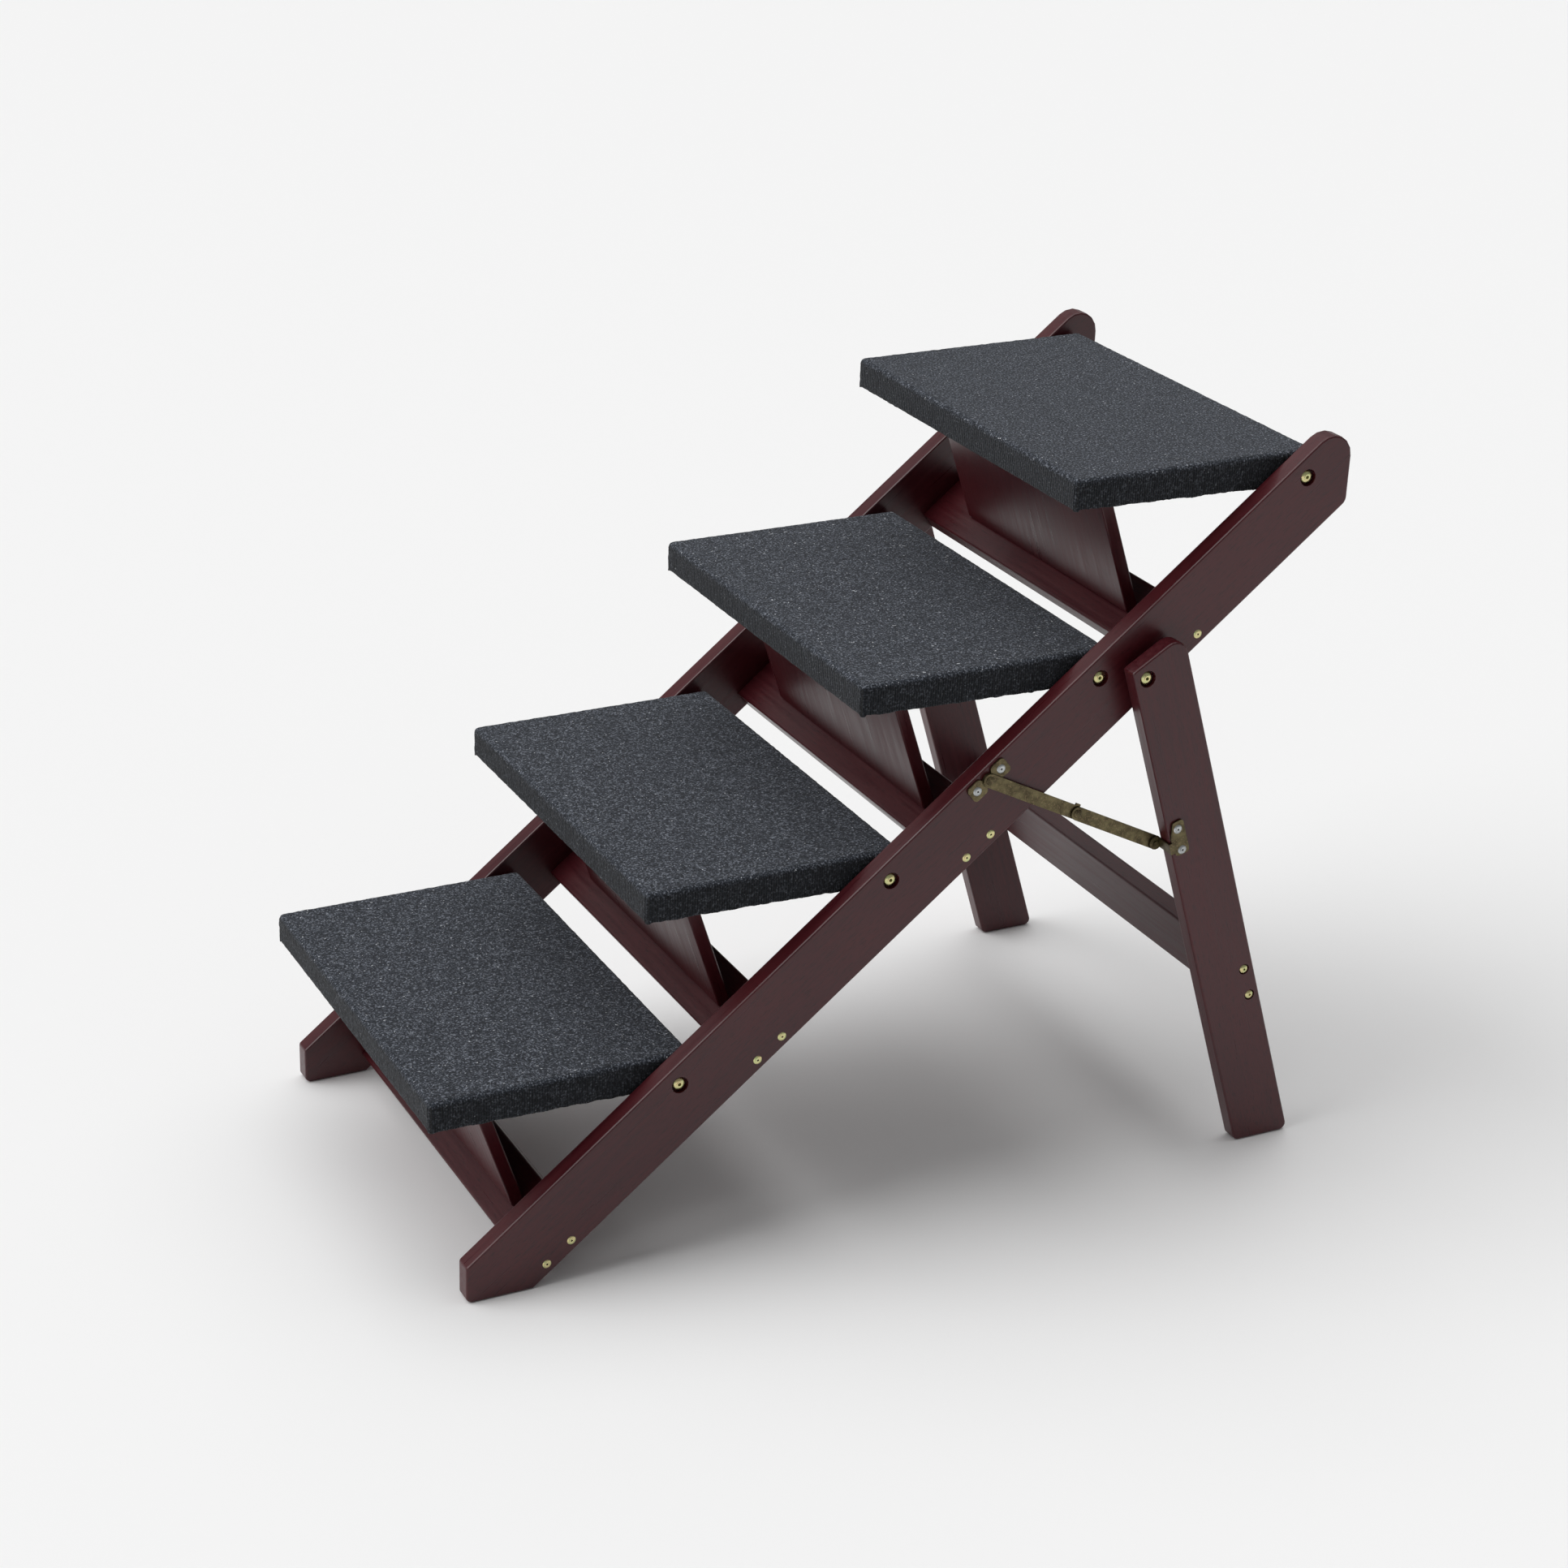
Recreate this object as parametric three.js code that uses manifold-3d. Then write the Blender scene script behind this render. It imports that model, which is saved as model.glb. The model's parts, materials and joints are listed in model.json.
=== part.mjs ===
// Folding wooden pet stairs with carpeted treads, millimetres, +Z up.
// +X runs up the stairs, +Y is left when climbing. The exported group stands on the floor at z = 0,
// with its origin under the middle of its outline. Side views below are drawn from the pivot of the
// first step, with s along the rail and n square to it.
import * as THREE from 'three'
import { mergeVertices } from 'three/addons/utils/BufferGeometryUtils.js'
import Module from 'manifold-3d'

const wasm = await Module()
wasm.setup()

// Driving dimensions
const slope = THREE.MathUtils.degToRad(38.64)   // of the two side rails
const stepCount = 4
const stepPitch = 250                           // between step pivots, along the rail
const firstPivotHeight = 168.8                  // above the floor
const touchGap = 0.3                            // left between pieces that touch
const runningGap = 0.3                          // round a pin in its hole

const rail = { above: 17.1, below: 47.9, thick: 18, front: 195.7, back: 43.2, round: 1.6 }
const batten = { width: 58, thick: 18, ahead: 173, round: 2 }
// The board's middle lies a little above its pivots, by raise.
const board = { width: 380, ahead: 215, behind: 16.5, thick: 19, raise: 3.5, round: 3, nose: 6.5 }
const carpet = { thick: 4.2, wrap: 48, round: 5, nose: 11 }
const treadClearance = 4                        // carpet to rail, each side
const panel = { width: 280, thick: 12, lean: THREE.MathUtils.degToRad(18.9), foot: 180, corner: 2.4, edge: 1.2 }
const panelHinge = { knuckle: 2.5, pin: 1, leaf: 1.2, leafWidth: 15, length: 270, knuckles: 5 }
const leg = { width: 56.1, ahead: 12.9, thick: 16, along: 526.9, below: 16.7, above: 11.3 }
const legLean = THREE.MathUtils.degToRad(17.6)
const legTopSlant = THREE.MathUtils.degToRad(13.9)
const legSpace = 9                              // between rail and leg
const crossBoard = { width: 58, thick: 18, down: 344, inset: 1, round: 2 }
const stepBolt = { head: 6.25, headHigh: 4, shank: 3, length: 52, hex: 2.3, sink: 7.8, deep: 5 }
const legBolt = { head: 6.25, headHigh: 4, shank: 3, length: 36, hex: 2.3, sink: 7.8, deep: 5 }
const spacer = { outer: 7 }
const crossScrew = { head: 4.6, headHigh: 2.6, shank: 2, length: 44, hex: 1.5, sink: 5.2, deep: 2.2 }
const stay = { width: 12.5, thick: 1.6, rivet: 2.3, rivetHead: 4, headHigh: 1.3 }
const railBracket = { along: 369.7, above: 6, length: 43, lobe: 16, waist: 9 }
const legBracket = { down: 170.7, ahead: 4.5, height: 34, reach: 17, neck: 11 }
const stayElbow = 0.52                          // share of the stay's reach that its first link takes

// Values that follow from them
const cos = Math.cos(slope)
const sin = Math.sin(slope)
const sideView = (s, n) => new THREE.Vector2(s * cos - n * sin, s * sin + n * cos)
const treadHalf = board.width / 2 + touchGap + carpet.thick
const railInner = treadHalf + treadClearance
const railOuter = railInner + rail.thick
const legInner = railOuter + legSpace
const legOuter = legInner + leg.thick
const floorAt = -firstPivotHeight
const legPivot = sideView(leg.along, -leg.below)

// Materials
const wood = (color) => new THREE.MeshStandardMaterial({ color, roughness: 0.45 })
const metal = (color) => new THREE.MeshStandardMaterial({ color, roughness: 0.4, metalness: 1 })
const finishes = {
  rail: () => wood(0x54313a),
  panel: () => wood(0x5a3238),
  board: () => wood(0x6b4a3c),
  nylon: () => new THREE.MeshStandardMaterial({ color: 0x1c1c1e, roughness: 0.5 }),
  carpet: () => new THREE.MeshStandardMaterial({ color: 0x42484f, roughness: 0.95 }),
  bolt: () => metal(0xcbb67a),
  bronze: () => metal(0x6e6650),
  steel: () => metal(0x9a9a98),
}

function toSolid(geometry) {
  const bare = geometry.index ? geometry.toNonIndexed() : geometry.clone()
  bare.deleteAttribute('normal')
  bare.deleteAttribute('uv')
  const merged = mergeVertices(bare, 1e-4)
  return new wasm.Manifold(new wasm.Mesh({
    numProp: 3,
    vertProperties: new Float32Array(merged.attributes.position.array),
    triVerts: new Uint32Array(merged.index.array),
  }))
}

function toGeometry(solid) {
  const { vertProperties, triVerts } = solid.getMesh()
  const geometry = new THREE.BufferGeometry()
  geometry.setAttribute('position', new THREE.BufferAttribute(new Float32Array(vertProperties), 3))
  geometry.setIndex(new THREE.BufferAttribute(new Uint32Array(triVerts), 1))
  geometry.computeVertexNormals()
  return geometry
}

const cut = (geometry, ...tools) =>
  toGeometry(tools.reduce((solid, tool) => solid.subtract(toSolid(tool)), toSolid(geometry)))
const join = (geometry, ...more) =>
  toGeometry(more.reduce((solid, piece) => solid.add(toSolid(piece)), toSolid(geometry)))

function part(name, geometry, material) {
  const mesh = new THREE.Mesh(geometry, material)
  mesh.name = name
  return mesh
}

// A closed outline whose corners [x, z, radius] are rounded by arcs.
function roundedOutline(corners) {
  const shape = new THREE.Shape()
  const points = corners.map(([x, z]) => new THREE.Vector2(x, z))
  corners.forEach(([, , radius], i) => {
    const corner = points[i]
    const before = points.at(i - 1).clone().sub(corner).normalize()
    const after = points[(i + 1) % points.length].clone().sub(corner).normalize()
    const half = Math.acos(THREE.MathUtils.clamp(before.dot(after), -1, 1)) / 2
    const start = corner.clone().addScaledVector(before, radius / Math.tan(half))
    if (i === 0) shape.moveTo(start.x, start.y)
    else shape.lineTo(start.x, start.y)
    const middle = before.clone().add(after).normalize().multiplyScalar(radius / Math.sin(half)).add(corner)
    const end = corner.clone().addScaledVector(after, radius / Math.tan(half))
    const turn = before.cross(after) < 0
    shape.absarc(middle.x, middle.y, radius, start.clone().sub(middle).angle(), end.clone().sub(middle).angle(), !turn)
  })
  shape.closePath()
  return shape
}

// A side-view outline given thickness across the stairs, from y = low to y = high.
function acrossStairs(outline, low, high, edge = 0, steps = 2) {
  return new THREE.ExtrudeGeometry(outline, {
    depth: high - low - 2 * edge,
    curveSegments: steps,
    bevelEnabled: edge > 0,
    bevelThickness: edge,
    bevelSize: edge,
    bevelOffset: -edge,
    bevelSegments: 2,
  }).rotateX(Math.PI / 2).translate(0, high - edge, 0)
}

const strip = (x0, z0, x1, z1, radius) =>
  roundedOutline([[x0, z0, radius], [x1, z0, radius], [x1, z1, radius], [x0, z1, radius]])

// A round hole or pin across the stairs at a side-view point.
const peg = (at, radius, low, high, sides = 14) =>
  new THREE.CylinderGeometry(radius, radius, high - low, sides).translate(0, (low + high) / 2, 0)
    .translate(at.x, 0, at.y)

// The room a sunk screw takes, entering a face at y = face from outside; side is +1 or -1.
function sunkHole(at, side, face, screw, through) {
  const from = face - screw.deep
  const parts = [
    [screw.sink, from, face + 1],
    [screw.shank + runningGap, through, face],
  ]
  return parts.map(([radius, low, high]) =>
    peg(at, radius, Math.min(side * low, side * high), Math.max(side * low, side * high)))
}

// A button-head screw along +Y, its head's top at y = 0.
function buttonScrew({ head, headHigh, shank, length, hex }) {
  const crown = new THREE.EllipseCurve(0, -headHigh * 0.75, head, headHigh * 0.75, Math.PI * 0.1, Math.PI * 0.4)
  const profile = [
    new THREE.Vector2(0, -length),
    new THREE.Vector2(shank, -length),
    new THREE.Vector2(shank, -headHigh),
    new THREE.Vector2(head * 0.96, -headHigh),
    ...crown.getPoints(2),
    new THREE.Vector2(0, 0).setY(crown.getPoint(1).y),
  ]
  const socket = new THREE.CylinderGeometry(hex, hex, headHigh, 6)
  return cut(new THREE.LatheGeometry(profile, 12), socket)
}

function placeScrew(name, screw, at, side, face, material = finishes.bolt()) {
  const mesh = part(name, buttonScrew(screw), material)
  mesh.position.set(at.x, side * (face - screw.deep + screw.headHigh + touchGap), at.y)
  mesh.rotation.x = side > 0 ? 0 : Math.PI
  return mesh
}

// Side rails: flat feet on the floor, plumb ends, the four pivots and the leg pivot.
function railOutline() {
  const front = -rail.front
  const back = sideView((stepCount - 1) * stepPitch, 0).x + rail.back
  const upperAt = (x) => (x + rail.above * sin) / cos * sin + rail.above * cos
  const lowerAt = (x) => (x - rail.below * sin) / cos * sin - rail.below * cos
  const footBack = (floorAt + rail.below * cos) / sin * cos + rail.below * sin
  return roundedOutline([
    [front, floorAt, 5],
    [footBack, floorAt, 3],
    [back, lowerAt(back), 9],
    [back, upperAt(back), 20],
    [front, upperAt(front), 4],
  ])
}

function makeRail(side) {
  const [low, high] = side > 0 ? [railInner, railOuter] : [-railOuter, -railInner]
  const holes = []
  for (let k = 0; k < stepCount; k++) {
    holes.push(...sunkHole(sideView(k * stepPitch, 0), side, railOuter, stepBolt, railInner - 1))
  }
  const legHole = side * (railOuter + 1)
  const holeEnd = side * (legOuter - legBolt.deep - legBolt.length + legBolt.headHigh - 1)
  holes.push(peg(legPivot, legBolt.shank + runningGap, Math.min(legHole, holeEnd), Math.max(legHole, holeEnd)))
  return cut(acrossStairs(railOutline(), low, high, rail.round, 3), ...holes)
}

function makeBatten() {
  const half = railInner - touchGap
  const outline = strip(-batten.width / 2, -batten.thick, batten.width / 2, 0, batten.round)
  return acrossStairs(outline, -half, half)
}

// One step, drawn from its pivot: board, carpet shell and the button bolts' holes.
const boardTop = board.raise + board.thick / 2
const underBoard = board.raise - board.thick / 2
function treadOutline(grow, nose, round) {
  const [front, back] = [-board.ahead - grow, board.behind + grow]
  const [low, high] = [underBoard - grow, boardTop + grow]
  return roundedOutline([[front, low, nose], [back, low, round], [back, high, round], [front, high, nose]])
}
const boardOutline = (grow) => treadOutline(grow, board.nose + grow, board.round)

function makeBoard() {
  const half = board.width / 2
  const holes = [-1, 1].map((side) => {
    const end = railOuter - stepBolt.deep + stepBolt.headHigh - stepBolt.length - 1
    return peg(new THREE.Vector2(), stepBolt.shank + runningGap,
      Math.min(side * end, side * (half + 1)), Math.max(side * end, side * (half + 1)), 12)
  })
  return cut(acrossStairs(boardOutline(0), -half, half, 0, 1), ...holes)
}

// The carpet covers the top and all four edges, and wraps under the nose.
function makeCarpet() {
  const skin = carpet.thick + touchGap
  const edge = 3
  const outside = acrossStairs(treadOutline(skin, carpet.nose, carpet.round), -treadHalf, treadHalf, edge, 2)
  const inside = board.width / 2 + touchGap
  const hollow = acrossStairs(boardOutline(touchGap), -inside, inside, 0, 1)
  const openFrom = carpet.wrap - board.ahead - skin
  const openTo = board.behind + touchGap
  const under = new THREE.BoxGeometry(openTo - openFrom, 2 * inside, board.thick)
    .translate((openFrom + openTo) / 2, 0, underBoard - carpet.thick)
  const bore = peg(new THREE.Vector2(), stepBolt.shank + 2, -treadHalf - 1, treadHalf + 1, 12)
  return cut(outside, hollow, under, bore)
}

// The hinge line of a support panel, seen from its step's pivot.
const battenTop = -rail.below + batten.thick
const panelFoot = sideView(-panel.foot, battenTop)
const hingeZ = underBoard - touchGap - panelHinge.knuckle
const panelHingeAt = new THREE.Vector2(
  panelFoot.x - (hingeZ - panelFoot.y) * Math.tan(panel.lean)
    + (panel.thick + touchGap + panelHinge.knuckle) / Math.cos(panel.lean),
  hingeZ,
)

// The panel hangs from its hinge line: in its own frame u is square to it, towards the back, and
// the panel runs down along -v. Its ends are cut to the board above and the batten below.
function makePanel() {
  const toPanel = (x, z) => new THREE.Vector2(x, z).sub(panelHingeAt).rotateAround(new THREE.Vector2(), -panel.lean)
  const rear = -(panelHinge.knuckle + touchGap)
  const front = rear - panel.thick
  const cutBy = (a, b, u) => a.y + (b.y - a.y) * (u - a.x) / (b.x - a.x)
  const roof = [toPanel(-board.ahead, underBoard - touchGap), toPanel(0, underBoard - touchGap)]
  const sill = [sideView(-2 * panel.foot, battenTop + touchGap), sideView(0, battenTop + touchGap)]
    .map((p) => toPanel(p.x, p.y))
  const outline = roundedOutline([
    [front, cutBy(...sill, front), panel.corner],
    [rear, cutBy(...sill, rear), panel.corner],
    [rear, cutBy(...roof, rear), panel.corner],
    [front, cutBy(...roof, front), panel.corner],
  ])
  return acrossStairs(outline, -panel.width / 2, panel.width / 2, panel.edge)
}

// Hinge leaves about the hinge line; alternate knuckles, and the pin belongs to the board's leaf.
// The room a knuckle needs in the other leaf is the same row, a little larger.
function knuckleRow(first, grow = 0) {
  const each = panelHinge.length / panelHinge.knuckles
  const ends = touchGap - grow
  const row = []
  for (let i = first; i < panelHinge.knuckles; i += 2) {
    const low = -panelHinge.length / 2 + i * each
    row.push(peg(new THREE.Vector2(), panelHinge.knuckle + grow, low + ends, low + each - ends, 8))
  }
  return row
}

function makeBoardLeaf() {
  const half = panelHinge.length / 2
  const top = panelHinge.knuckle
  const plate = new THREE.BoxGeometry(panelHinge.leafWidth, 2 * half, panelHinge.leaf)
    .translate(panelHinge.leafWidth / 2, 0, top - panelHinge.leaf / 2)
  const space = knuckleRow(1, 1.5 * touchGap)
  const pin = peg(new THREE.Vector2(), panelHinge.pin, -half, half, 6)
  return join(cut(plate, ...space), ...knuckleRow(0), pin)
}

function makePanelLeaf() {
  const half = panelHinge.length / 2 - panelHinge.length / panelHinge.knuckles
  const face = -panelHinge.knuckle
  const plate = new THREE.BoxGeometry(panelHinge.leaf, 2 * half, panelHinge.leafWidth)
    .translate(face + panelHinge.leaf / 2, 0, -panelHinge.leafWidth / 2)
  const space = knuckleRow(0, 1.5 * touchGap)
  const pinRoom = peg(new THREE.Vector2(), panelHinge.pin + runningGap, -half - 1, half + 1, 8)
  return cut(join(cut(plate, ...space), ...knuckleRow(1)), pinRoom)
}

function makeStep(k) {
  const step = new THREE.Group()
  const at = sideView(k * stepPitch, 0)
  step.position.set(at.x, 0, at.y)
  step.add(part(`step_board_${k + 1}`, makeBoard(), finishes.board()))
  step.add(part(`step_carpet_${k + 1}`, makeCarpet(), finishes.carpet()))
  const hinge = new THREE.Group()
  hinge.position.set(panelHingeAt.x, 0, panelHingeAt.y)
  hinge.add(part(`hinge_leaf_board_${k + 1}`, makeBoardLeaf(), finishes.steel()))
  const hanging = new THREE.Group()
  hanging.rotation.y = -panel.lean
  hanging.add(part(`support_panel_${k + 1}`, makePanel(), finishes.panel()))
  hanging.add(part(`hinge_leaf_panel_${k + 1}`, makePanelLeaf(), finishes.steel()))
  hinge.add(hanging)
  step.add(hinge)
  return step
}

// Legs: drawn from the leg pivot, d down along the leg and w towards its rear edge.
const legView = (d, w) => new THREE.Vector2(
  legPivot.x + d * Math.sin(legLean) + w * Math.cos(legLean),
  legPivot.y - d * Math.cos(legLean) + w * Math.sin(legLean),
)
const legRear = leg.width - leg.ahead

function legOutline() {
  const onFloor = (w) => (legPivot.y + w * Math.sin(legLean) - floorAt) / Math.cos(legLean)
  const topRear = leg.above + leg.width * Math.tan(legTopSlant)
  const corners = [
    [onFloor(-leg.ahead), -leg.ahead, 6],
    [onFloor(legRear), legRear, 6],
    [-topRear, legRear, 14],
    [-leg.above, -leg.ahead, 3],
  ]
  return roundedOutline(corners.map(([d, w, radius]) => {
    const p = legView(d, w)
    return [p.x, p.y, radius]
  }))
}

const crossMiddle = legRear - crossBoard.inset - crossBoard.thick / 2
const crossScrews = [-1, 1].map((end) => legView(crossBoard.down + end * crossBoard.width / 4, crossMiddle))

function makeLeg(side) {
  const [low, high] = side > 0 ? [legInner, legOuter] : [-legOuter, -legInner]
  const holes = [
    ...sunkHole(legPivot, side, legOuter, legBolt, legInner - 1),
    ...crossScrews.flatMap((at) => sunkHole(at, side, legOuter, crossScrew, legInner - 1)),
  ]
  return cut(acrossStairs(legOutline(), low, high, rail.round, 3), ...holes)
}

function makeCrossBoard() {
  const half = legInner - touchGap
  const around = [[-1, -1], [-1, 1], [1, 1], [1, -1]].map(([a, b]) => {
    const p = legView(crossBoard.down + a * crossBoard.width / 2, crossMiddle + b * crossBoard.thick / 2)
    return [p.x, p.y, crossBoard.round]
  })
  const blank = acrossStairs(roundedOutline(around), -half, half)
  const end = legOuter - crossScrew.deep + crossScrew.headHigh - crossScrew.length - 1
  const holes = crossScrews.flatMap((at) => [-1, 1].map((side) =>
    peg(at, crossScrew.shank + runningGap,
      Math.min(side * end, side * (half + 1)), Math.max(side * end, side * (half + 1)), 10)))
  return cut(blank, ...holes)
}

function makeSpacer() {
  return cut(
    peg(legPivot, spacer.outer, railOuter + touchGap, legInner - touchGap, 18),
    peg(legPivot, legBolt.shank + runningGap, railOuter, legInner),
  )
}

// Folding stay: two flat links in layers of their own in the space between rail and leg.
const layerBracket = railOuter + touchGap
const layerInner = layerBracket + stay.thick + touchGap
const layerOuter = layerInner + stay.thick + touchGap
const layerTab = layerOuter + stay.thick + touchGap
const stayOnRail = sideView(railBracket.along, railBracket.above)
const stayOnLeg = legView(legBracket.down, -leg.ahead - legBracket.ahead)
const stayMiddle = stayOnRail.clone().lerp(stayOnLeg, stayElbow)

const bothSides = (side, geometry) => (side > 0 ? geometry : mirrorAcross(geometry))

function mirrorAcross(geometry) {
  return toGeometry(toSolid(geometry).mirror([0, 1, 0]))
}

// A strip with round ends from a to b.
function linkOutline(a, b, width) {
  const along = b.clone().sub(a).normalize()
  const start = along.angle() + Math.PI / 2
  const shape = new THREE.Shape()
  shape.absarc(a.x, a.y, width / 2, start, start + Math.PI, false)
  shape.absarc(b.x, b.y, width / 2, start + Math.PI, start + 2 * Math.PI, false)
  shape.closePath()
  return shape
}

function makeLink(a, b, layer, openings) {
  const blank = acrossStairs(linkOutline(a, b, stay.width), layer, layer + stay.thick, 0, 5)
  return cut(blank, ...openings.map((at) => peg(at, stay.rivet + runningGap, layer - 1, layer + stay.thick + 1, 10)))
}

function makeInnerLink() {
  const link = makeLink(stayOnRail, stayMiddle, layerInner, [stayOnRail, stayMiddle])
  const along = stayOnLeg.clone().sub(stayOnRail).normalize()
  const square = new THREE.Vector2(-along.y, along.x)
  const high = stay.width / 2
  const ear = [[-1, high - 0.5], [4, high - 0.5], [4, high + stay.thick + touchGap], [-1, high + stay.thick + touchGap]]
    .map(([a, b]) => stayMiddle.clone().addScaledVector(along, a - 4).addScaledVector(square, b))
  const stop = acrossStairs(roundedOutline(ear.map((p) => [p.x, p.y, 0.2])), layerInner, layerInner + stay.thick, 0, 1)
  return join(link, stop)
}

function makeRailBracket() {
  const { along, above, length, lobe, waist } = railBracket
  const end = (length - lobe) / 2
  const corner = (s, n) => sideView(along + s, above + n)
  const lobes = [-1, 1].map((way) => {
    const around = [[-lobe / 2, -lobe / 2], [lobe / 2, -lobe / 2], [lobe / 2, lobe / 2], [-lobe / 2, lobe / 2]]
    return around.map(([s, n]) => corner(way * end + s, n)).map((p) => [p.x, p.y, 3.5])
  })
  const middle = [[-end, -waist / 2], [end, -waist / 2], [end, waist / 2], [-end, waist / 2]]
    .map(([s, n]) => corner(s, n)).map((p) => [p.x, p.y, 1])
  const plates = [...lobes, middle].map((corners) =>
    acrossStairs(roundedOutline(corners), layerBracket, layerBracket + stay.thick))
  const boss = peg(stayOnRail, stay.width / 2, layerBracket, layerBracket + stay.thick)
  const hole = peg(stayOnRail, stay.rivet + runningGap, layerBracket - 1, layerBracket + stay.thick + 1, 10)
  return cut(join(...plates, boss), hole)
}

// The leg bracket lies on the leg's outer face, turns round its front edge and ends in a tab.
function makeLegBracket() {
  const { down, ahead, height, reach, neck } = legBracket
  const edge = -leg.ahead - touchGap
  const outline = (corners, radius) => roundedOutline(corners.map(([d, w]) => {
    const p = legView(down + d, w)
    return [p.x, p.y, radius]
  }))
  const face = legOuter + touchGap
  const upper = height * 0.72
  const plate = acrossStairs(outline([
    [height - upper, edge + 3], [height - upper, edge + reach], [-upper, edge + reach], [-upper, edge + 6],
    [-neck / 2 - 4, edge + 1],
  ], 3), face, face + stay.thick)
  const box = (d0, d1, w0, w1, low, high) =>
    acrossStairs(outline([[d1, w0], [d1, w1], [d0, w1], [d0, w0]], 0.2), low, high, 0, 1)
  const half = neck / 2
  const lip = box(-half, half, edge - stay.thick, edge + 4, face, face + stay.thick)
  const turn = box(-half, half, edge - stay.thick, edge, layerTab, face + stay.thick)
  const tab = box(-half, half, edge - ahead, edge, layerTab, layerTab + stay.thick)
  const eye = peg(stayOnLeg, stay.width / 2, layerTab, layerTab + stay.thick)
  const rivetEnd = peg(stayOnLeg, stay.rivet, layerTab, layerTab + stay.thick + 1, 12)
  const legRoom = box(-height, height, edge, edge + height, legInner - touchGap, face)
  return cut(join(plate, lip, turn, tab, eye, rivetEnd), legRoom)
}

// A rivet from y = low, with its domed head from y = high outwards.
function makeRivet(at, low, high) {
  const crown = new THREE.EllipseCurve(0, high, stay.rivetHead, stay.headHigh, 0, Math.PI / 2)
  const profile = [
    new THREE.Vector2(0, low),
    new THREE.Vector2(stay.rivet, low),
    new THREE.Vector2(stay.rivet, high),
    ...crown.getPoints(3).slice(0, -1),
    new THREE.Vector2(0, high + stay.headHigh),
  ]
  return new THREE.LatheGeometry(profile, 10).translate(at.x, 0, at.y)
}

function makeEndRivet() {
  return peg(stayOnLeg, stay.rivet, layerOuter, layerTab - touchGap, 10)
}

function makeStay(side) {
  const where = side > 0 ? 'left' : 'right'
  const bronze = finishes.bronze
  const pieces = [
    ['rail_bracket', makeRailBracket()],
    ['stay_inner_link', makeInnerLink()],
    ['stay_outer_link', makeLink(stayMiddle, stayOnLeg, layerOuter, [stayMiddle, stayOnLeg])],
    ['leg_bracket', makeLegBracket()],
    ['rail_rivet', makeRivet(stayOnRail, layerBracket + touchGap, layerInner + stay.thick + touchGap)],
    ['elbow_rivet', makeRivet(stayMiddle, layerInner, layerOuter + stay.thick + touchGap)],
    ['leg_rivet', makeEndRivet()],
  ]
  return pieces.map(([name, geometry]) => part(`${name}_${where}`, bothSides(side, geometry), bronze()))
}

function makeStairs() {
  const stairs = new THREE.Group()
  for (const side of [-1, 1]) {
    const where = side > 0 ? 'left' : 'right'
    stairs.add(part(`rail_${where}`, makeRail(side), finishes.rail()))
    stairs.add(part(`leg_${where}`, makeLeg(side), finishes.rail()))
    stairs.add(part(`leg_spacer_${where}`, bothSides(side, makeSpacer()), finishes.nylon()))
    stairs.add(placeScrew(`leg_bolt_${where}`, legBolt, legPivot, side, legOuter))
    for (let k = 0; k < stepCount; k++) {
      const at = sideView(k * stepPitch, 0)
      stairs.add(placeScrew(`step_bolt_${k + 1}_${where}`, stepBolt, at, side, railOuter))
    }
    crossScrews.forEach((at, i) => {
      stairs.add(placeScrew(`cross_screw_${i ? 'lower' : 'upper'}_${where}`, crossScrew, at, side, legOuter))
    })
    stairs.add(...makeStay(side))
  }
  for (let k = 0; k < stepCount; k++) {
    const strip = part(`batten_${k + 1}`, makeBatten(), finishes.rail())
    const at = sideView(k * stepPitch - batten.ahead, battenTop)
    strip.position.set(at.x, 0, at.y)
    strip.rotation.y = -slope
    stairs.add(strip, makeStep(k))
  }
  stairs.add(part('cross_board', makeCrossBoard(), finishes.rail()))
  return stairs
}

const stairs = makeStairs()
stairs.updateMatrixWorld(true)
const outline = new THREE.Box3().setFromObject(stairs, true)
stairs.position.set(-(outline.min.x + outline.max.x) / 2, 0, -floorAt)
stairs.updateMatrixWorld(true)

export default stairs
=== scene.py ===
import json
import math
import random

import bmesh
import bpy
from mathutils import Matrix, Vector, noise


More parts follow.
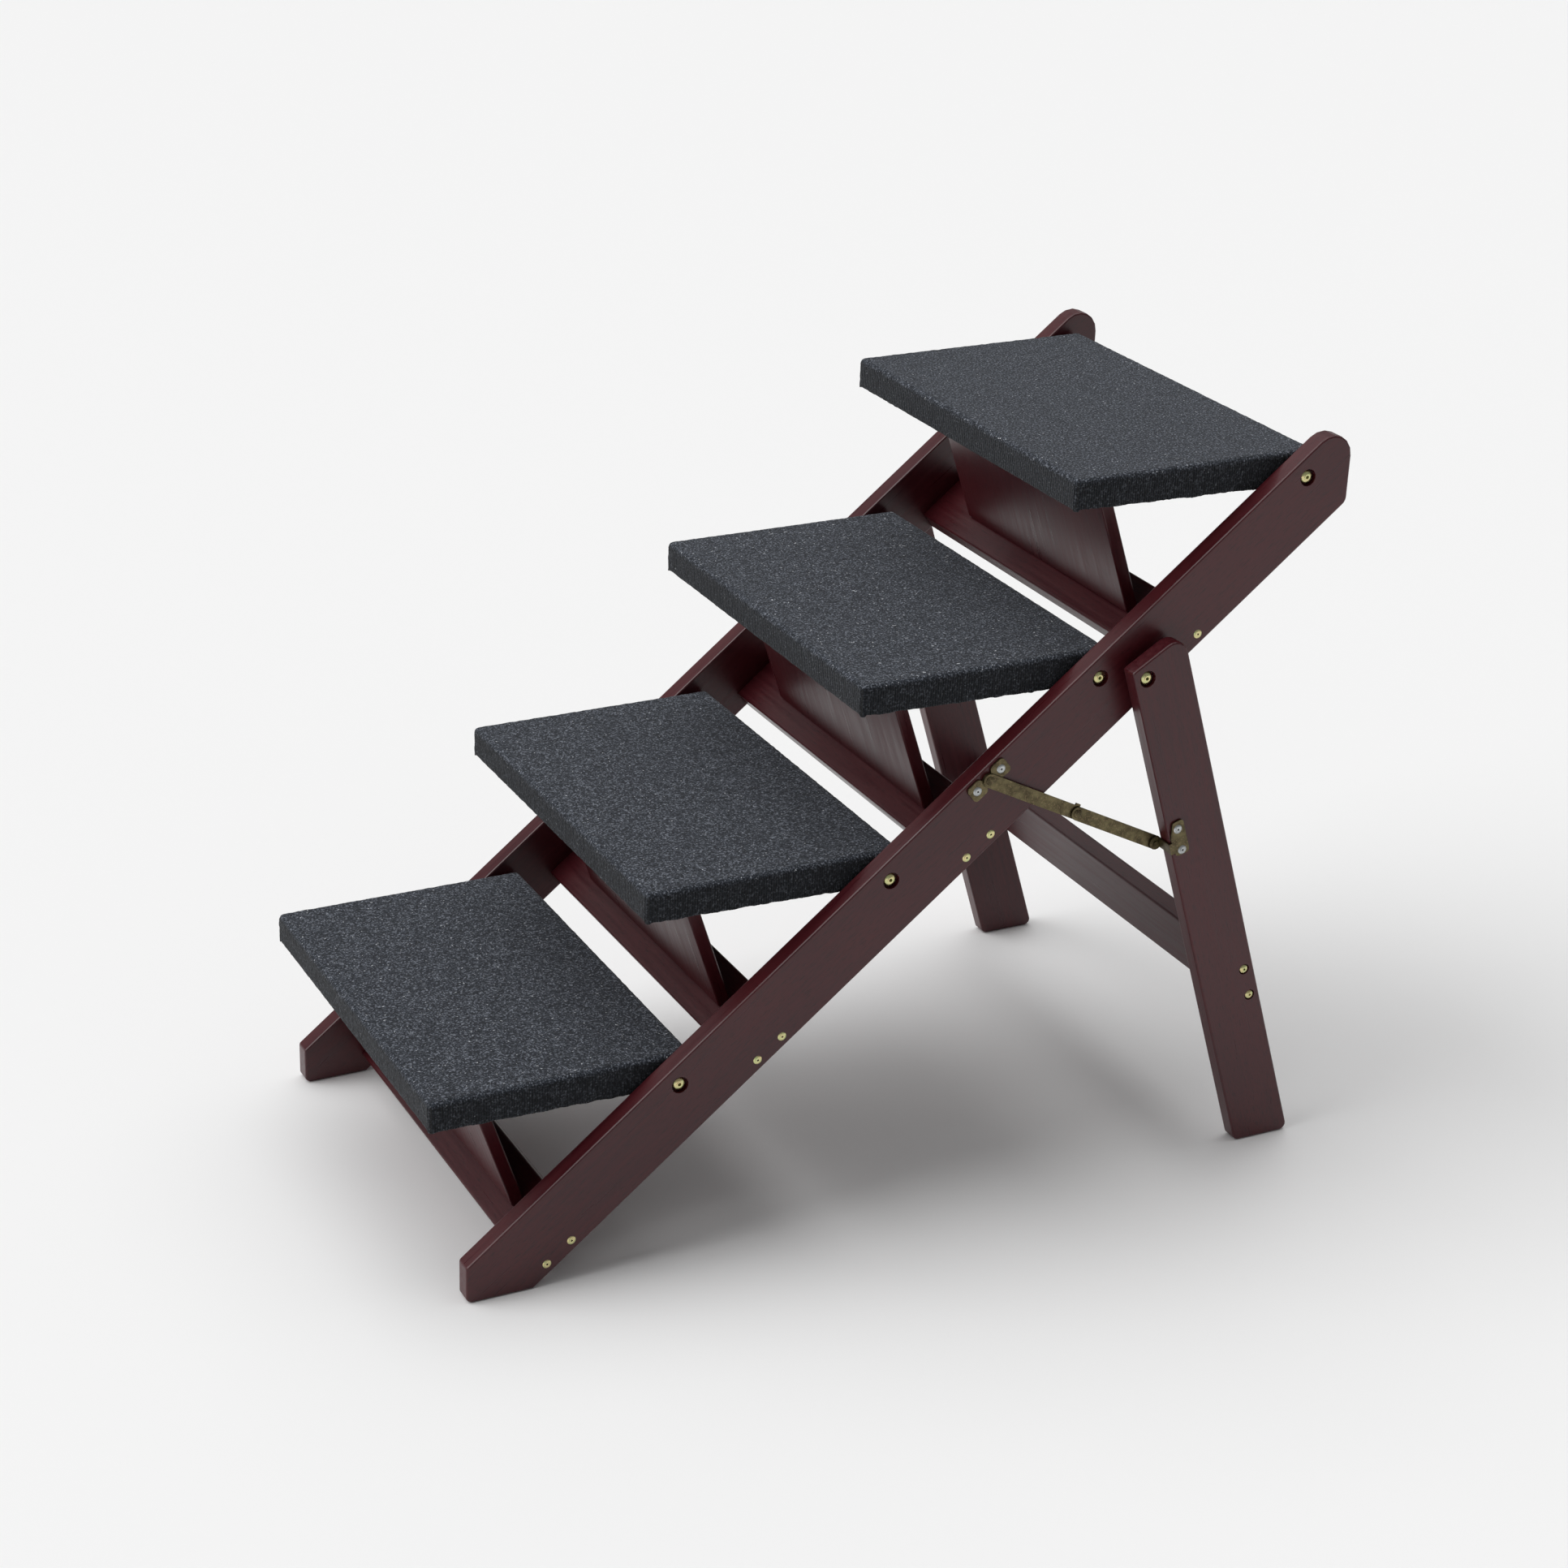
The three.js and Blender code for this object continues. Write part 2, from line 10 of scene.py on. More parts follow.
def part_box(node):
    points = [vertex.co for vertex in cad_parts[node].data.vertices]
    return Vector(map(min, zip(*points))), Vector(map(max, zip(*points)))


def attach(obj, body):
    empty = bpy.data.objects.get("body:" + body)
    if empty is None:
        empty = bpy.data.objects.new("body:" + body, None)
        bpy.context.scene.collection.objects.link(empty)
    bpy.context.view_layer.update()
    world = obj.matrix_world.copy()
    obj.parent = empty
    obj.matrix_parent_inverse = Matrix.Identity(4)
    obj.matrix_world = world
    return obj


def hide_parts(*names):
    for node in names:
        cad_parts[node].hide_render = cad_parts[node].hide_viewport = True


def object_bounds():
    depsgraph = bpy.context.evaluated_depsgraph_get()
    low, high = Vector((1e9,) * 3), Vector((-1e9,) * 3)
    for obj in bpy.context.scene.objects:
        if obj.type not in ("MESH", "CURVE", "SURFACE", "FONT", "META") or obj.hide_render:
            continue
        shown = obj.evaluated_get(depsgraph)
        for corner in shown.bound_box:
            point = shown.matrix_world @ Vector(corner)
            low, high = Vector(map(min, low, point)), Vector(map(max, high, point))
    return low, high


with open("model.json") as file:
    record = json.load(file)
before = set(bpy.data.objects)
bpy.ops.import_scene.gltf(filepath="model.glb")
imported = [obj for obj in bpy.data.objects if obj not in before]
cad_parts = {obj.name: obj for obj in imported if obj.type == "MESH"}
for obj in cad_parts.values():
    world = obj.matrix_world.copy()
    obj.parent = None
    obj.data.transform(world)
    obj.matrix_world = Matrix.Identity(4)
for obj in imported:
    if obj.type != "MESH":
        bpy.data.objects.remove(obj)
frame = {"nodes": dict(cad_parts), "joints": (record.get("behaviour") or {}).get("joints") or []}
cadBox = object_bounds()
mm = 0.001
tiny = 1e-6                   # m, nearer than this counts as the same place

# where things are, from the frame
joints = {joint["name"]: joint for joint in frame["joints"]}
stepPivots = [Vector(joints[f"step_{k}_lift"]["pos_m"]) for k in (1, 2, 3, 4)]
climb = (stepPivots[-1] - stepPivots[0]).normalized()      # up the slope, along the rails
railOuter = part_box("rail_left")[1].y
sides = {"left": 1, "right": -1}
legLean = math.radians(17.6)
legDown = Vector((math.sin(legLean), 0, -math.cos(legLean)))
legRearward = Vector((math.cos(legLean), 0, math.sin(legLean)))


# sRGB hex to a linear colour
def linear(code):
    values = [int(code[i:i + 2], 16) / 255 for i in (1, 3, 5)]
    return [v / 12.92 if v <= 0.04045 else ((v + 0.055) / 1.055) ** 2.4 for v in values] + [1]


view = {
    "fromPivot": (-1.0386, -2.3716, 1.3409),   # camera, measured from the first step's pivot, m
    "azimuth": -25.26,
    "elevation": 24.21,
    "roll": 1.13,
    "lens": 73.9,
    "sensor": 36,
    "shift": (0.0774, 0.0100),
}


def makeCamera():
    data = bpy.data.cameras.new("camera")
    data.lens = view["lens"]
    data.sensor_width = view["sensor"]
    data.shift_x, data.shift_y = view["shift"]
    camera = bpy.data.objects.new("camera", data)
    bpy.context.scene.collection.objects.link(camera)
    azimuth, elevation = math.radians(view["azimuth"]), math.radians(view["elevation"])
    back = Vector((
        math.sin(azimuth) * math.cos(elevation),
        -math.cos(azimuth) * math.cos(elevation),
        math.sin(elevation),
    ))
    turn = (-back).to_track_quat("-Z", "Y").to_matrix().to_4x4()
    roll = Matrix.Rotation(math.radians(view["roll"]), 4, "Z")
    place = Matrix.Translation(stepPivots[0] + Vector(view["fromPivot"]))
    camera.matrix_world = place @ turn @ roll
    bpy.context.scene.camera = camera


# Adds a node. Links give each input a socket or a value; settings are the node's own.
def addNode(tree, kind, links=None, **settings):
    made = tree.nodes.new("ShaderNode" + kind)
    for key, value in settings.items():
        setattr(made, key, value)
    for key, value in (links or {}).items():
        if isinstance(value, bpy.types.NodeSocket):
            tree.links.new(value, made.inputs[key])
        else:
            made.inputs[key].default_value = value
    return made


# Mix nodes below take 0 factor, 6 and 7 colours, and give 2; Map Range nodes take 0 value,
# 1 and 2 the range it is read over, 3 and 4 the range it is turned to, and give 0.
colour = {"data_type": "RGBA"}


def newMaterial(name):
    material = bpy.data.materials.new(name)
    material.use_nodes = True
    tree = material.node_tree
    tree.nodes.clear()
    shader = addNode(tree, "BsdfPrincipled")
    output = addNode(tree, "OutputMaterial")
    tree.links.new(shader.outputs["BSDF"], output.inputs["Surface"])
    return material, tree, shader


studio = {
    "paper": "#f4f4f4",
    "paperRough": 0.9,
    "paperGloss": 0.1,
    "floorHalf": 14.0,
    "floorGap": 0.5,          # mm between the feet and the floor
    "sky": "#ffffff",
    "skyStrength": 0.24,
    # each lamp: the side that it stands on, its strength in W/m2, its spread in degrees
    "key": ((-0.85, 0.25, 0.75), 1.5, 50),
    "overhead": ((-0.15, 0.35, 1.0), 1.1, 60),
    "rear": ((0.45, 0.3, 0.9), 0.5, 60),
}


def makeStudio():
    bm = bmesh.new()
    bmesh.ops.create_grid(bm, x_segments=1, y_segments=1, size=studio["floorHalf"])
    mesh = bpy.data.meshes.new("floor")
    bm.to_mesh(mesh)
    bm.free()
    floor = bpy.data.objects.new("floor", mesh)
    floor.location.z = cadBox[0].z - studio["floorGap"] * mm
    bpy.context.scene.collection.objects.link(floor)
    material, tree, shader = newMaterial("pale_paper")
    shader.inputs["Base Color"].default_value = linear(studio["paper"])
    shader.inputs["Roughness"].default_value = studio["paperRough"]
    shader.inputs["Specular IOR Level"].default_value = studio["paperGloss"]
    mesh.materials.append(material)
    for name in ("key", "overhead", "rear"):
        side, strength, spread = studio[name]
        data = bpy.data.lights.new(name, "SUN")
        data.energy = strength
        data.angle = math.radians(spread)
        lamp = bpy.data.objects.new(name, data)
        lamp.rotation_euler = (-Vector(side)).to_track_quat("-Z", "Y").to_euler()
        bpy.context.scene.collection.objects.link(lamp)
    world = bpy.data.worlds.new("studio")
    world.use_nodes = True
    background = world.node_tree.nodes["Background"]
    background.inputs["Color"].default_value = linear(studio["sky"])
    background.inputs["Strength"].default_value = studio["skyStrength"]
    bpy.context.scene.world = world
    bpy.context.scene.view_settings.view_transform = "Standard"
    print("studio lit")


wood = {
    "deep": "#1c0509",        # stain gathered in the pores
    "main": "#3b0c14",
    "warm": "#4f171c",        # where the timber took less stain
    "streak": (4.0, 110.0),   # mm across and along the grain
    "pore": (0.8, 9.0),
    "cloud": (90.0, 180.0),
    "poreDeep": 0.04,         # mm
    "roughness": (0.27, 0.38),
    "lacquerIor": 1.48,
}


# Solid hardwood, dark cherry stain under a satin lacquer: the grain is soft, the gloss broad.
def stainedWood(name, along):
    material, tree, shader = newMaterial(name)
    place = addNode(tree, "TexCoord").outputs["Object"]
    turn = Vector(along).rotation_difference(Vector((1, 0, 0))).to_euler()
    lined = addNode(tree, "Mapping", {"Vector": place, "Rotation": turn}).outputs["Vector"]
    grain = {}
    for part, detail, distortion in (("streak", 3, 0.3), ("pore", 2, 0), ("cloud", 2, 0)):
        across, run = wood[part]
        drawn = addNode(tree, "Mapping", {"Vector": lined, "Scale": (across / run, 1, 1)})
        grain[part] = addNode(tree, "TexNoise", {
            "Vector": drawn.outputs["Vector"], "Scale": 1 / (across * mm),
            "Detail": detail, "Distortion": distortion,
        }).outputs["Fac"]
    stain = linear(wood["main"])
    for part, low, high, most, tone in (
        ("streak", 0.35, 0.7, 0.55, "warm"),
        ("cloud", 0.4, 0.65, 0.5, "warm"),
        ("pore", 0.56, 0.7, 0.6, "deep"),
    ):
        share = addNode(tree, "MapRange", {0: grain[part], 1: low, 2: high, 3: 0, 4: most})
        mixed = {0: share.outputs[0], 6: stain, 7: linear(wood[tone])}
        stain = addNode(tree, "Mix", mixed, **colour).outputs[2]
    tree.links.new(stain, shader.inputs["Base Color"])
    smooth, rough = wood["roughness"]
    gloss = addNode(tree, "MapRange", {0: grain["streak"], 1: 0.3, 2: 0.7, 3: smooth, 4: rough})
    tree.links.new(gloss.outputs[0], shader.inputs["Roughness"])
    height = addNode(tree, "MapRange", {0: grain["pore"], 1: 0.5, 2: 0.72, 3: 1, 4: 0})
    bump = addNode(tree, "Bump", {
        "Height": height.outputs[0], "Distance": wood["poreDeep"] * mm, "Strength": 0.5,
    })
    tree.links.new(bump.outputs["Normal"], shader.inputs["Normal"])
    shader.inputs["IOR"].default_value = wood["lacquerIor"]
    return material


felt = {
    "deep": "#171a20",
    "main": "#3f444d",
    "light": "#8b909a",
    "fleck": "#d2d5da",
    "shadow": "#060708",
    "loop": 1.7,              # mm, one loop of the felt
    "heather": 7.0,           # mm, how far lighter and darker wool gathers
    "rib": 2.3,               # mm between the ribs
    "bump": 0.6,
    "sideShade": 0.62,        # painted shade: how far the hanging flaps are darkened towards the shadow colour
}


# Needle-punched polyester felt in mixed greys: no gloss, a soft halo at grazing angles.
def ribbedFelt():
    material, tree, shader = newMaterial("charcoal_needle_felt")
    place = addNode(tree, "TexCoord").outputs["Object"]
    side = addNode(tree, "Attribute", attribute_name="side").outputs["Fac"]
    along = addNode(tree, "Attribute", attribute_name="along").outputs["Fac"]
    speckle = {}
    for part, size, detail, rough in (
        ("loops", felt["loop"], 2, 0.6),
        ("heather", felt["heather"], 2, 0.5),
        ("flecks", felt["loop"] * 1.3, 0, 0.5),
    ):
        links = {"Vector": place, "Scale": 1 / (size * mm), "Detail": detail, "Roughness": rough}
        speckle[part] = addNode(tree, "TexNoise", links).outputs["Fac"]
    wave = {0: along, 1: 2 * math.pi / (felt["rib"] * mm)}
    wave = addNode(tree, "Math", wave, operation="MULTIPLY").outputs[0]
    wave = addNode(tree, "Math", {0: wave}, operation="SINE").outputs[0]
    strength = addNode(tree, "MapRange", {0: side, 1: 0, 2: 1, 3: 0.12, 4: 1}).outputs[0]
    ribs = addNode(tree, "Math", {0: wave, 1: strength}, operation="MULTIPLY").outputs[0]
    wool = linear(felt["deep"])
    for source, low, high, most, tone in (
        (speckle["loops"], 0.36, 0.6, 1, "main"),
        (speckle["loops"], 0.54, 0.72, 1, "light"),
        (speckle["heather"], 0.4, 0.7, 0.4, "deep"),
        (speckle["flecks"], 0.8, 0.84, 0.8, "fleck"),
        # painted shade in the troughs between the ribs, strong on the flaps and faint on the top
        (ribs, 0.2, -1.0, 0.5, "deep"),
        # painted shade: the hanging side flaps are mixed towards the near-black shadow colour
        (side, 0, 1, felt["sideShade"], "shadow"),
    ):
        share = addNode(tree, "MapRange", {0: source, 1: low, 2: high, 3: 0, 4: most})
        mixed = {0: share.outputs[0], 6: wool, 7: linear(felt[tone])}
        wool = addNode(tree, "Mix", mixed, **colour).outputs[2]
    tree.links.new(wool, shader.inputs["Base Color"])
    raised = {0: ribs, 1: 0.5, 2: speckle["loops"]}
    raised = addNode(tree, "Math", raised, operation="MULTIPLY_ADD").outputs[0]
    bump = addNode(tree, "Bump", {
        "Height": raised, "Distance": felt["bump"] * mm, "Strength": 0.8,
    })
    tree.links.new(bump.outputs["Normal"], shader.inputs["Normal"])
    shader.inputs["Roughness"].default_value = 0.95
    shader.inputs["Specular IOR Level"].default_value = 0.1
    shader.inputs["Sheen Weight"].default_value = 0.1
    shader.inputs["Sheen Roughness"].default_value = 0.6
    return material


# each plating: its name, two tones, mm between patches, its roughness, a tone where it is rubbed
platings = {
    "yellow": ("yellow_zinc_plate", ("#d9c795", "#c6cf95"), 4, (0.22, 0.36), None),
    "white": ("clear_zinc_plate", ("#b9bcbc", "#9da0a1"), 6, (0.3, 0.45), None),
    "bronze": ("antique_bronze_plate", ("#6a6248", "#4c4434"), 7, (0.34, 0.5), "#86755a"),
}


# Thin plating over steel: full metal, its colour drifting in patches as the bath left it.
def platedSteel(name, tones, patch, roughness, rub):
    material, tree, shader = newMaterial(name)
    place = addNode(tree, "TexCoord").outputs["Object"]
    links = {"Vector": place, "Scale": 1 / (patch * mm), "Detail": 4, "Roughness": 0.6}
    drift = addNode(tree, "TexNoise", links).outputs["Fac"]
    share = addNode(tree, "MapRange", {0: drift, 1: 0.35, 2: 0.65, 3: 0, 4: 1}).outputs[0]
    mixed = {0: share, 6: linear(tones[0]), 7: linear(tones[1])}
    plate = addNode(tree, "Mix", mixed, **colour).outputs[2]
    if rub:
        links = {"Vector": place, "Scale": 1 / (patch * 0.25 * mm), "Detail": 3}
        spots = addNode(tree, "TexNoise", links).outputs["Fac"]
        share = addNode(tree, "MapRange", {0: spots, 1: 0.52, 2: 0.7, 3: 0, 4: 0.8}).outputs[0]
        plate = addNode(tree, "Mix", {0: share, 6: plate, 7: linear(rub)}, **colour).outputs[2]
    tree.links.new(plate, shader.inputs["Base Color"])
    smooth, rough = roughness
    gloss = addNode(tree, "MapRange", {0: drift, 1: 0.3, 2: 0.7, 3: smooth, 4: rough})
    tree.links.new(gloss.outputs[0], shader.inputs["Roughness"])
    shader.inputs["Metallic"].default_value = 1
    bump = addNode(tree, "Bump", {"Height": drift, "Distance": 0.03 * mm, "Strength": 0.5})
    tree.links.new(bump.outputs["Normal"], shader.inputs["Normal"])
    return material


plywood = {"dark": "#3a1c1a", "pale": "#573029", "figure": 4.0, "stretch": 0.05, "rough": 0.7}


# Thin brown stain straight on birch plywood: dry and matt, with a long soft figure.
def rawPlywood():
    material, tree, shader = newMaterial("stained_plywood")
    place = addNode(tree, "TexCoord").outputs["Object"]
    drawn = addNode(tree, "Mapping", {"Vector": place, "Scale": (1, plywood["stretch"], 1)})
    links = {"Vector": drawn.outputs[0], "Scale": 1 / (plywood["figure"] * mm), "Detail": 4}
    figure = addNode(tree, "TexNoise", links).outputs["Fac"]
    share = addNode(tree, "MapRange", {0: figure, 1: 0.3, 2: 0.7, 3: 0, 4: 1}).outputs[0]
    mixed = {0: share, 6: linear(plywood["dark"]), 7: linear(plywood["pale"])}
    tree.links.new(addNode(tree, "Mix", mixed, **colour).outputs[2], shader.inputs["Base Color"])
    bump = addNode(tree, "Bump", {"Height": figure, "Distance": 0.1 * mm, "Strength": 0.5})
    tree.links.new(bump.outputs["Normal"], shader.inputs["Normal"])
    shader.inputs["Roughness"].default_value = plywood["rough"]
    return material


spacerLook = {"dark": "#101012", "pale": "#1d1d20", "skin": 0.7, "roughness": (0.4, 0.55)}


# The leg spacer, made near-black as painted shade for the dark gap between leg and rail, with a
# faint orange-peel skin and a dull gloss.
def shadeBlackSpacer():
    material, tree, shader = newMaterial("black_nylon")
    place = addNode(tree, "TexCoord").outputs["Object"]
    links = {"Vector": place, "Scale": 1 / (spacerLook["skin"] * mm), "Detail": 2}
    skin = addNode(tree, "TexNoise", links).outputs["Fac"]
    smooth, rough = spacerLook["roughness"]
    gloss = addNode(tree, "MapRange", {0: skin, 1: 0.3, 2: 0.7, 3: smooth, 4: rough})
    tree.links.new(gloss.outputs[0], shader.inputs["Roughness"])
    mixed = {0: skin, 6: linear(spacerLook["dark"]), 7: linear(spacerLook["pale"])}
    tree.links.new(addNode(tree, "Mix", mixed, **colour).outputs[2], shader.inputs["Base Color"])
    return material


# Turns a bmesh, drawn in place, into a piece that rides on a body.
def finishPiece(name, bm, body, material, replaced=()):
    mesh = bpy.data.meshes.new(name)
    bm.to_mesh(mesh)
    bm.free()
    for face in mesh.polygons:
        face.use_smooth = True
    mesh.materials.append(material)
    piece = bpy.data.objects.new(name, mesh)
    bpy.context.scene.collection.objects.link(piece)
    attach(piece, body)
    if replaced:
        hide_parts(*replaced)
    return piece


carpet = {
    "thick": 4.2,             # mm, as all the sizes here
    "roundTop": 5.0,
    "foldShare": 0.7,         # the fold under the nose is rounded less than the top
    "wrap": 48.0,
    "spacing": 1.7,           # between the surface's points
    "lump": 0.35,             # how uneven the pile lies
    "lumpSizes": (6.0, 2.3),
    "frontDrop": 1.5,         # how far the side flaps are short of the nose's lower edge
    "rearDrop": -3.5,
    "flapReach": 5.2,         # how far in from the side a flap's points lie
    "wanderSizes": (12.0, 3.0),
    "skirtShare": 0.9,        # of the height, as the cloth cuts the corner at each rounded edge
}


# Edges of these faces that run along an axis, by length in metres, always in the same order.
def longEdges(bm, faces, axis, shortest, longest):
    found = set()
    for face in faces:
        for edge in face.edges:
            run = edge.verts[1].co - edge.verts[0].co
            if shortest < run.length < longest and abs(run[axis]) > 0.97 * run.length:
                found.add(edge)
    bm.edges.index_update()
    return sorted(found, key=lambda edge: edge.index)


# A box with no floor, its nose edge carried on under the board, rounded, then given thickness.
def carpetShell(low, high):
    bm = bmesh.new()
    size = high - low
    place = Matrix.Translation((low + high) / 2) @ Matrix.Diagonal((*size, 1))
    bmesh.ops.create_cube(bm, size=1, matrix=place)
    floor = [f for f in bm.faces if f.normal.z < -0.9]
    bmesh.ops.delete(bm, geom=floor, context="FACES_ONLY")
    upright = [e for e in bm.edges if abs(e.verts[0].co.z - e.verts[1].co.z) > size.z * 0.9]
    rim = [e for e in bm.edges if min(v.co.z for v in e.verts) > high.z - tiny]
    bevel = {"offset_type": "OFFSET", "segments": 4, "profile": 0.5, "affect": "EDGES",
             "material": -1}
    bmesh.ops.bevel(bm, geom=upright + rim, offset=carpet["roundTop"] * mm, **bevel)
    lowest = [e for e in bm.edges if max(v.co.z for v in e.verts) < low.z + tiny]
    nose = [e for e in lowest if max(v.co.x for v in e.verts) < low.x + tiny]
    made = bmesh.ops.extrude_edge_only(bm, edges=nose)["geom"]
    moved = [v for v in made if isinstance(v, bmesh.types.BMVert)]
    bmesh.ops.translate(bm, verts=moved, vec=(carpet["wrap"] * mm, 0, 0))
    lowest = [e for e in bm.edges if max(v.co.z for v in e.verts) < low.z + tiny]
    fold = [e for e in lowest if len(e.link_faces) == 2]
    foldRound = carpet["roundTop"] * carpet["foldShare"] * mm
    bmesh.ops.bevel(bm, geom=fold, offset=foldRound, **bevel)
    bmesh.ops.recalc_face_normals(bm, faces=bm.faces)
    bmesh.ops.solidify(bm, geom=bm.faces[:], thickness=carpet["thick"] * mm)
    return bm


def makeCarpet(k, material):
    low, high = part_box(f"step_carpet_{k}")
    bm = carpetShell(low, high)
    inset = Vector((carpet["thick"] * mm * 0.6,) * 3)
    deepLow, deepHigh = low + inset, high - inset

    def outside(face):
        centre = face.calc_center_median()
        return not all(deepLow[i] < centre[i] < deepHigh[i] for i in range(3))

    # axis, and the shortest and longest edge that is divided, in m
    for axis, least, most in ((0, 0.1, 1), (1, 0.1, 1), (0, 0.03, 0.1), (2, 0.01, 0.03)):
        faces = [f for f in bm.faces if outside(f)]
        edges = longEdges(bm, faces, axis, least, most)
        if edges:
            longest = max(edge.calc_length() for edge in edges)
            cuts = max(1, round(longest / (carpet["spacing"] * mm)) - 1)
            bmesh.ops.subdivide_edges(bm, edges=edges, cuts=cuts, use_grid_fill=True)
    ruffle(bm, low, high, k)
    replaced = [f"step_carpet_{k}"]
    return finishPiece(f"carpet_{k}", bm, f"step_{k}", material, replaced)


# Uneven pile, and cut edges that wander; also records how the rows run, for the material.
def ruffle(bm, low, high, seed):
    side = bm.verts.layers.float.new("side")
    along = bm.verts.layers.float.new("along")
    bm.normal_update()
    shift = Vector((seed * 3.1, seed * 1.7, 0))
    coarse, fine = (size * mm for size in carpet["lumpSizes"])
    wide, narrow = (size * mm for size in carpet["wanderSizes"])
    middle = (low.z + high.z) / 2
    for vert in bm.verts:
        at, normal = vert.co, vert.normal
        # side is 0 on the top and 1 on the hanging flaps; the felt material paints shade on the
        # flaps with it
        vert[side] = min(1.0, max(0.0, 1 - (normal.z - 0.15) / 0.5))
        vert[along] = at.x if abs(normal.y) > abs(normal.x) else at.y
        lump = noise.noise((at + shift) / coarse) + 0.6 * noise.noise((at + shift) / fine)
        lift = carpet["lump"] * mm * lump
        vert.co += normal * lift
        share = (at.x - low.x) / (high.x - low.x)
        nearSide = min(at.y - low.y, high.y - at.y) < carpet["flapReach"] * mm
        if at.z < middle and share > 0.02 and (nearSide or share > 0.97):
            depth = (middle - at.z) / ((high.z - low.z) / 2)
            drop = carpet["frontDrop"] + (carpet["rearDrop"] - carpet["frontDrop"]) * share
            wander = 0.9 * noise.noise((at + shift) / wide)
            wander += 0.5 * noise.noise((at + shift) / narrow)
            vert.co.z += depth * depth * (drop + wander) * mm


def makeCarpets():
    cloth = ribbedFelt()
    for k in (1, 2, 3, 4):
        piece = makeCarpet(k, cloth)
    print("carpets laid")


# sizes in mm: head and shank are radii, hex is the socket's apothem, arm and slot the cross's
button = {"head": 6.25, "high": 3.3, "hex": 2.3, "recess": 2.4, "shank": 3.0, "sides": 32}
smallButton = {"head": 4.6, "high": 2.4, "hex": 1.5, "recess": 1.6, "shank": 2.0, "sides": 24}
crossHead = {"head": 4.2, "high": 1.1, "arm": 2.1, "slot": 0.42, "recess": 1.3, "sides": 48}
# a head's profile, as shares of its radius and height
dome = {"foot": 0.94, "rim": 0.12, "turns": (0.3, 0.5, 0.68, 0.84), "flat": 1.22, "lip": 0.97}


# A circle of points at a height; shape, if given, sets each point's own radius by its angle.
def ring(bm, count, radius, height, shape=None):
    made = bmesh.ops.create_circle(bm, cap_ends=False, segments=count, radius=1)["verts"]
    for vert in made:
        angle = math.atan2(vert.co.y, vert.co.x)
        reach = shape(angle) if shape else radius
        vert.co = Vector((math.cos(angle) * reach, math.sin(angle) * reach, height))
    return [e for e in bm.edges if e.verts[0] in made and e.verts[1] in made]


def hexagon(apothem):
    sixth = math.pi / 3
    return lambda angle: apothem / math.cos((angle % sixth) - sixth / 2)


def cross(arm, slot):
    quarter = math.pi / 2

    def reach(angle):
        off = (angle + quarter / 2) % quarter - quarter / 2
        return min(arm / math.cos(off), slot / max(tiny, abs(math.sin(off))))

    return reach


# The rings of a domed head, from its rim, over the top and down into its socket.
def domeRings(bm, style):
    head, high, count = style["head"], style["high"], style["sides"]
    reach = style["hex"] if "hex" in style else style["arm"]
    socket = hexagon(reach) if "hex" in style else cross(reach, style["slot"])
    rings = [ring(bm, count, head * dome["foot"], 0), ring(bm, count, head, high * dome["rim"])]
    for share in dome["turns"]:
        angle = share * math.pi / 2
        height = high * (dome["rim"] + (1 - dome["rim"]) * math.sin(angle))
        rings.append(ring(bm, count, head * math.cos(angle), height))
    rings.append(ring(bm, count, reach * dome["flat"], high))
    rings.append(ring(bm, count, 0, high * dome["lip"], socket))
    rings.append(ring(bm, count, 0, high * dome["lip"] - style["recess"], socket))
    return rings


# One screw along outward, its head standing on the point at; sizes in mm until it is placed.
def makeFastener(at, outward, style, shankLength=0.0):
    turn = random.uniform(0, 6)
    bm = bmesh.new()
    rings = []
    if shankLength:
        count, shank = style["sides"], style["shank"]
        rings = [ring(bm, count, shank * 0.8, -shankLength),
                 ring(bm, count, shank, -shankLength + 1),
                 ring(bm, count, shank, 0)]
    rings += domeRings(bm, style)
    for lower, upper in zip(rings, rings[1:]):
        bmesh.ops.bridge_loops(bm, edges=lower + upper)
    for end in (rings[0], rings[-1]):
        bmesh.ops.contextual_create(bm, geom=end)
    bmesh.ops.recalc_face_normals(bm, faces=bm.faces)
    aim = Vector((0, 0, 1)).rotation_difference(outward).to_matrix().to_4x4()
    spin = Matrix.Rotation(turn, 4, "Z") @ Matrix.Scale(mm, 4)
    bmesh.ops.transform(bm, matrix=Matrix.Translation(at) @ aim @ spin, verts=bm.verts)
    return bm


# Screws that belong together are one piece, with hard edges kept crisp.
def finishFasteners(name, parts, body, material, replaced=()):
    whole = bmesh.new()
    for bm in parts:
        mesh = bpy.data.meshes.new("part")
        bm.to_mesh(mesh)
        bm.free()
        whole.from_mesh(mesh)
        bpy.data.meshes.remove(mesh)
    piece = finishPiece(name, whole, body, material, replaced)
    piece.modifiers.new("crisp edges", "EDGE_SPLIT").split_angle = math.radians(38)


# Button heads with hex sockets, in place of the plain bolts.
def makeBolts(yellow):
    random.seed(7)
    bolts = [(f"step_bolt_{k}", "root", button) for k in (1, 2, 3, 4)]
    bolts += [("leg_bolt", "root", button)]
    bolts += [(f"cross_screw_{where}", "leg_frame", smallButton) for where in ("upper", "lower")]
    for start, body, style in bolts:
        for where, side in sides.items():
            node = f"{start}_{where}"
            low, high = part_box(node)
            top = high.y if side > 0 else -low.y
            at = (low + high) / 2
            at.y = side * (top - style["high"] * mm)
            length = (high.y - low.y) / mm - style["high"]
            bm = makeFastener(at, Vector((0, side, 0)), style, length)
            finishFasteners(f"{node}_button", [bm], body, yellow, [node])
    print("bolts set")


